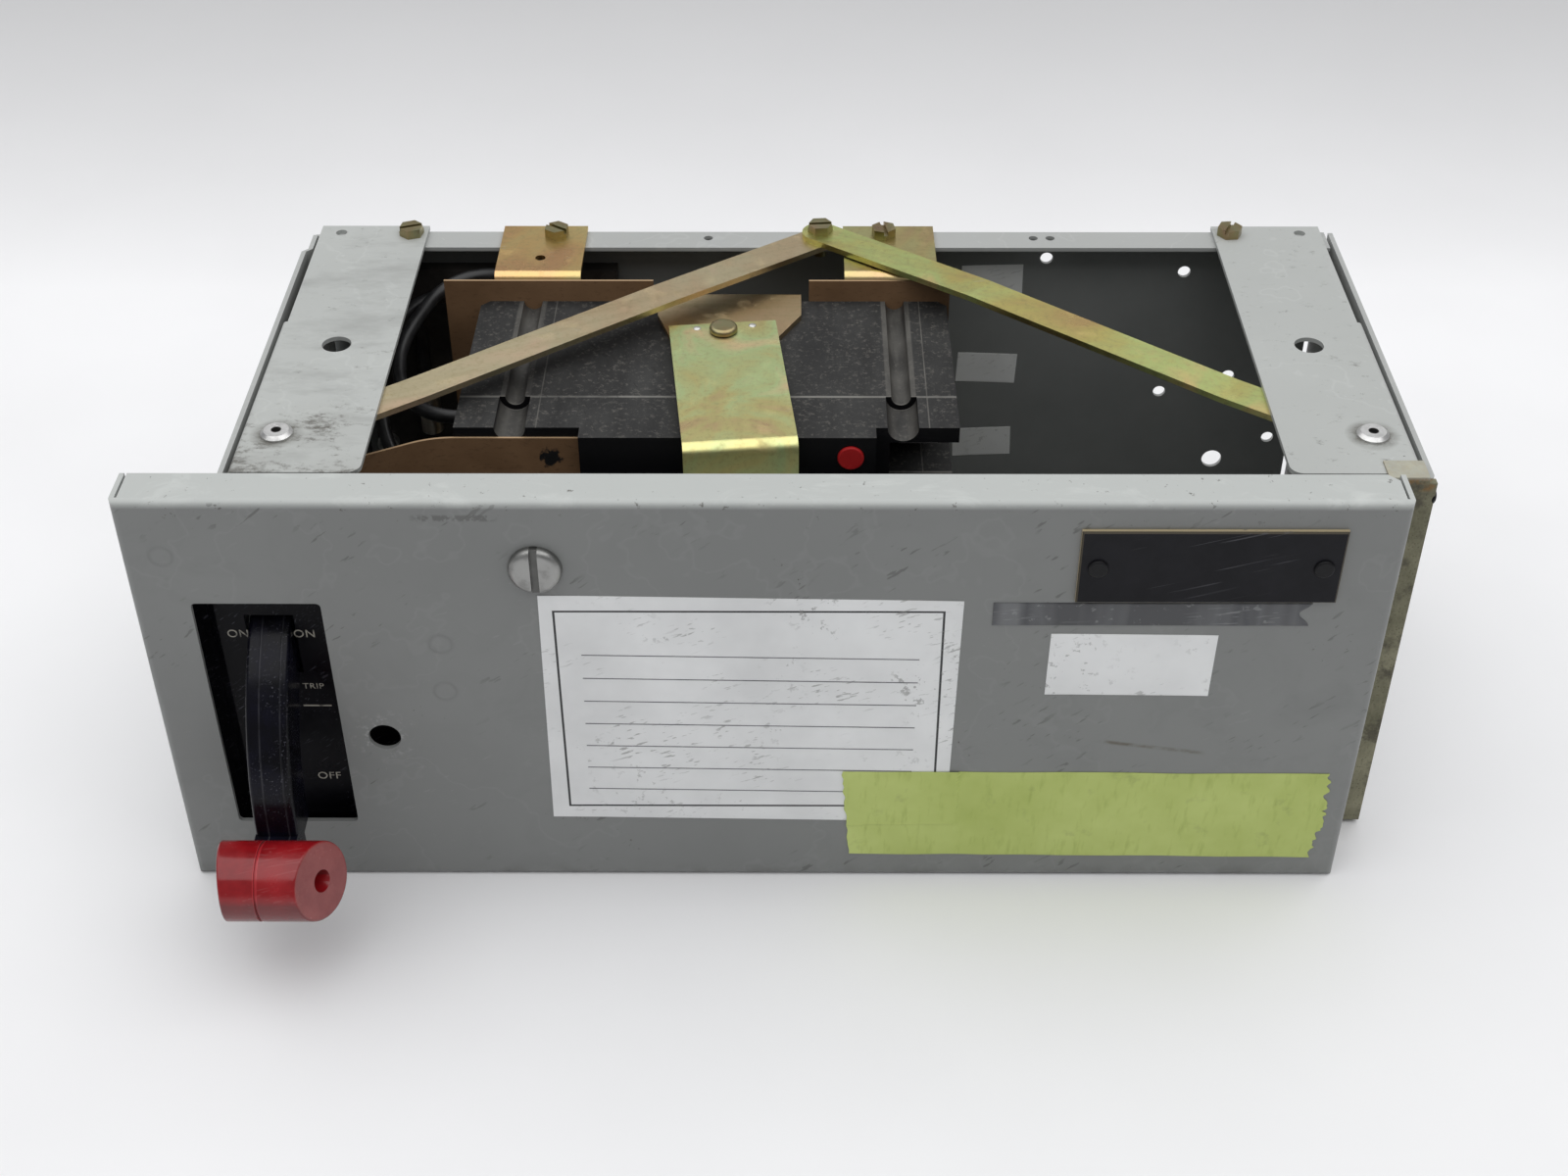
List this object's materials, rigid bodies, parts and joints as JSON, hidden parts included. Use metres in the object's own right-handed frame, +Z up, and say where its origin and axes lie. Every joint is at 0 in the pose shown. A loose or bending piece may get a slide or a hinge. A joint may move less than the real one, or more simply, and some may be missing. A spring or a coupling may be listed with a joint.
{
  "type": "motor control center bucket",
  "caption": "Plug-in feeder unit for a motor control center: open sheet-metal chassis with a moulded-case breaker, rotary yoke, front lever handle, hinged door and rear line stabs.",
  "frame": {"origin": "centre of the underside of the chassis floor, where the unit rests on its shelf", "axes": "+X to the right of someone facing the door, +Y to the rear stabs, +Z up"},
  "size_m": [0.3885, 0.2672, 0.151],
  "materials": {
    "grey_enamel": "light grey baked enamel, scuffed",
    "yellow_zinc": "yellow iridescent zinc plate on steel",
    "rivet_aluminium": "bright blind rivets",
    "clear_zinc": "clear zinc plate, dulled",
    "black_handle": "glossy black moulding, scratched",
    "black_laminate": "black engraving laminate with a pale core",
    "red_grip": "glossy red vinyl",
    "red_button": "red moulding",
    "breaker_case": "dark grey phenolic, dusty",
    "brown_fibre": "brown vulcanised fibre sheet",
    "olive_gasket": "yellowed closed-cell strip",
    "lug_aluminium": "tin plate",
    "wire_jacket": "black wire insulation",
    "stab_moulding": "dark glass-polyester moulding",
    "stab_copper": "tin-plated copper"
  },
  "bodies": {
    "chassis": {"bottom_pan": "grey_enamel", "rear_panel": "grey_enamel", "left_side_plate": "grey_enamel", "right_side_plate": "grey_enamel", "left_top_strap": "grey_enamel", "right_top_strap": "grey_enamel", "front_crossbar": "grey_enamel", "side_rivets": "grey_enamel", "left_brace_bar": "yellow_zinc", "right_brace_bar": "yellow_zinc", "top_hex_screws": "yellow_zinc", "left_breaker_bracket": "yellow_zinc", "right_breaker_bracket": "yellow_zinc", "yoke_pivot_bracket": "yellow_zinc", "yoke_pivot_rivet": "yellow_zinc", "strap_pop_rivets": "rivet_aluminium", "latch_receptacle": "clear_zinc", "handle_shaft": "clear_zinc", "shaft_spacers": "clear_zinc", "handle_bracket": "clear_zinc", "housing_screws": "clear_zinc", "breaker_mounting_screws": "clear_zinc", "chassis_hinge_leaves": "clear_zinc", "hinge_pins": "clear_zinc", "stab_mounting_screws": "clear_zinc", "handle_housing": "black_handle", "breaker_base": "breaker_case", "breaker_cover": "breaker_case", "rear_left_insulator": "brown_fibre", "rear_right_insulator": "brown_fibre", "front_left_insulator": "brown_fibre", "side_gasket": "olive_gasket", "line_lugs": "lug_aluminium", "load_lugs": "lug_aluminium", "line_wire_1": "wire_jacket", "line_wire_2": "wire_jacket", "line_wire_3": "wire_jacket", "stab_block": "stab_moulding", "stab_fingers": "stab_copper"},
    "door": {"door_panel": "grey_enamel", "nameplate": "black_laminate", "nameplate_rivets": "black_laminate", "door_hinge_leaves": "clear_zinc"},
    "latch": {"latch_stud": "clear_zinc", "latch_cross_pin": "clear_zinc", "latch_retainer": "clear_zinc"},
    "handle": {"handle_lever": "black_handle", "handle_grip": "red_grip", "lever_crank_pin": "clear_zinc"},
    "yoke": {"breaker_yoke": "yellow_zinc"},
    "toggle": {"breaker_toggle": "breaker_case"},
    "trip_button": {"trip_button": "red_button"}
  },
  "joints": [
    {"name": "door_swing", "type": "hinge", "parent": "chassis", "child": "door", "pos_m": [0.1674, -0.08525, 0.0755], "axis": [0, 0, 1], "range_deg": [0, 100]},
    {"name": "latch_turn", "type": "hinge", "parent": "door", "child": "latch", "pos_m": [-0.0848, -0.10425, 0.1275], "axis": [0, 1, 0], "range_deg": [0, 90]},
    {"name": "handle_throw", "type": "hinge", "parent": "chassis", "child": "handle", "pos_m": [-0.1681, -0.05925, 0.04], "axis": [-1, 0, 0], "range_deg": [0, 48]},
    {"name": "yoke_swing", "type": "hinge", "parent": "chassis", "child": "yoke", "pos_m": [-0.0328, 0.01435, 0.1354], "axis": [0, 0, 1], "range_deg": [-12, 0]},
    {"name": "toggle_flip", "type": "hinge", "parent": "chassis", "child": "toggle", "pos_m": [-0.0328, -0.02425, 0.0795], "axis": [0, 0, 1], "range_deg": [-26, 0]},
    {"name": "trip_press", "type": "slide", "parent": "chassis", "child": "trip_button", "axis": [0, 1, 0], "range_m": [0, 0.002], "stiffness_N_per_m": 400}
  ],
  "couplings": [
    {"joint": "yoke_swing", "follows": "handle_throw", "ratio": -0.25},
    {"joint": "toggle_flip", "follows": "handle_throw", "ratio": -0.54167}
  ]
}
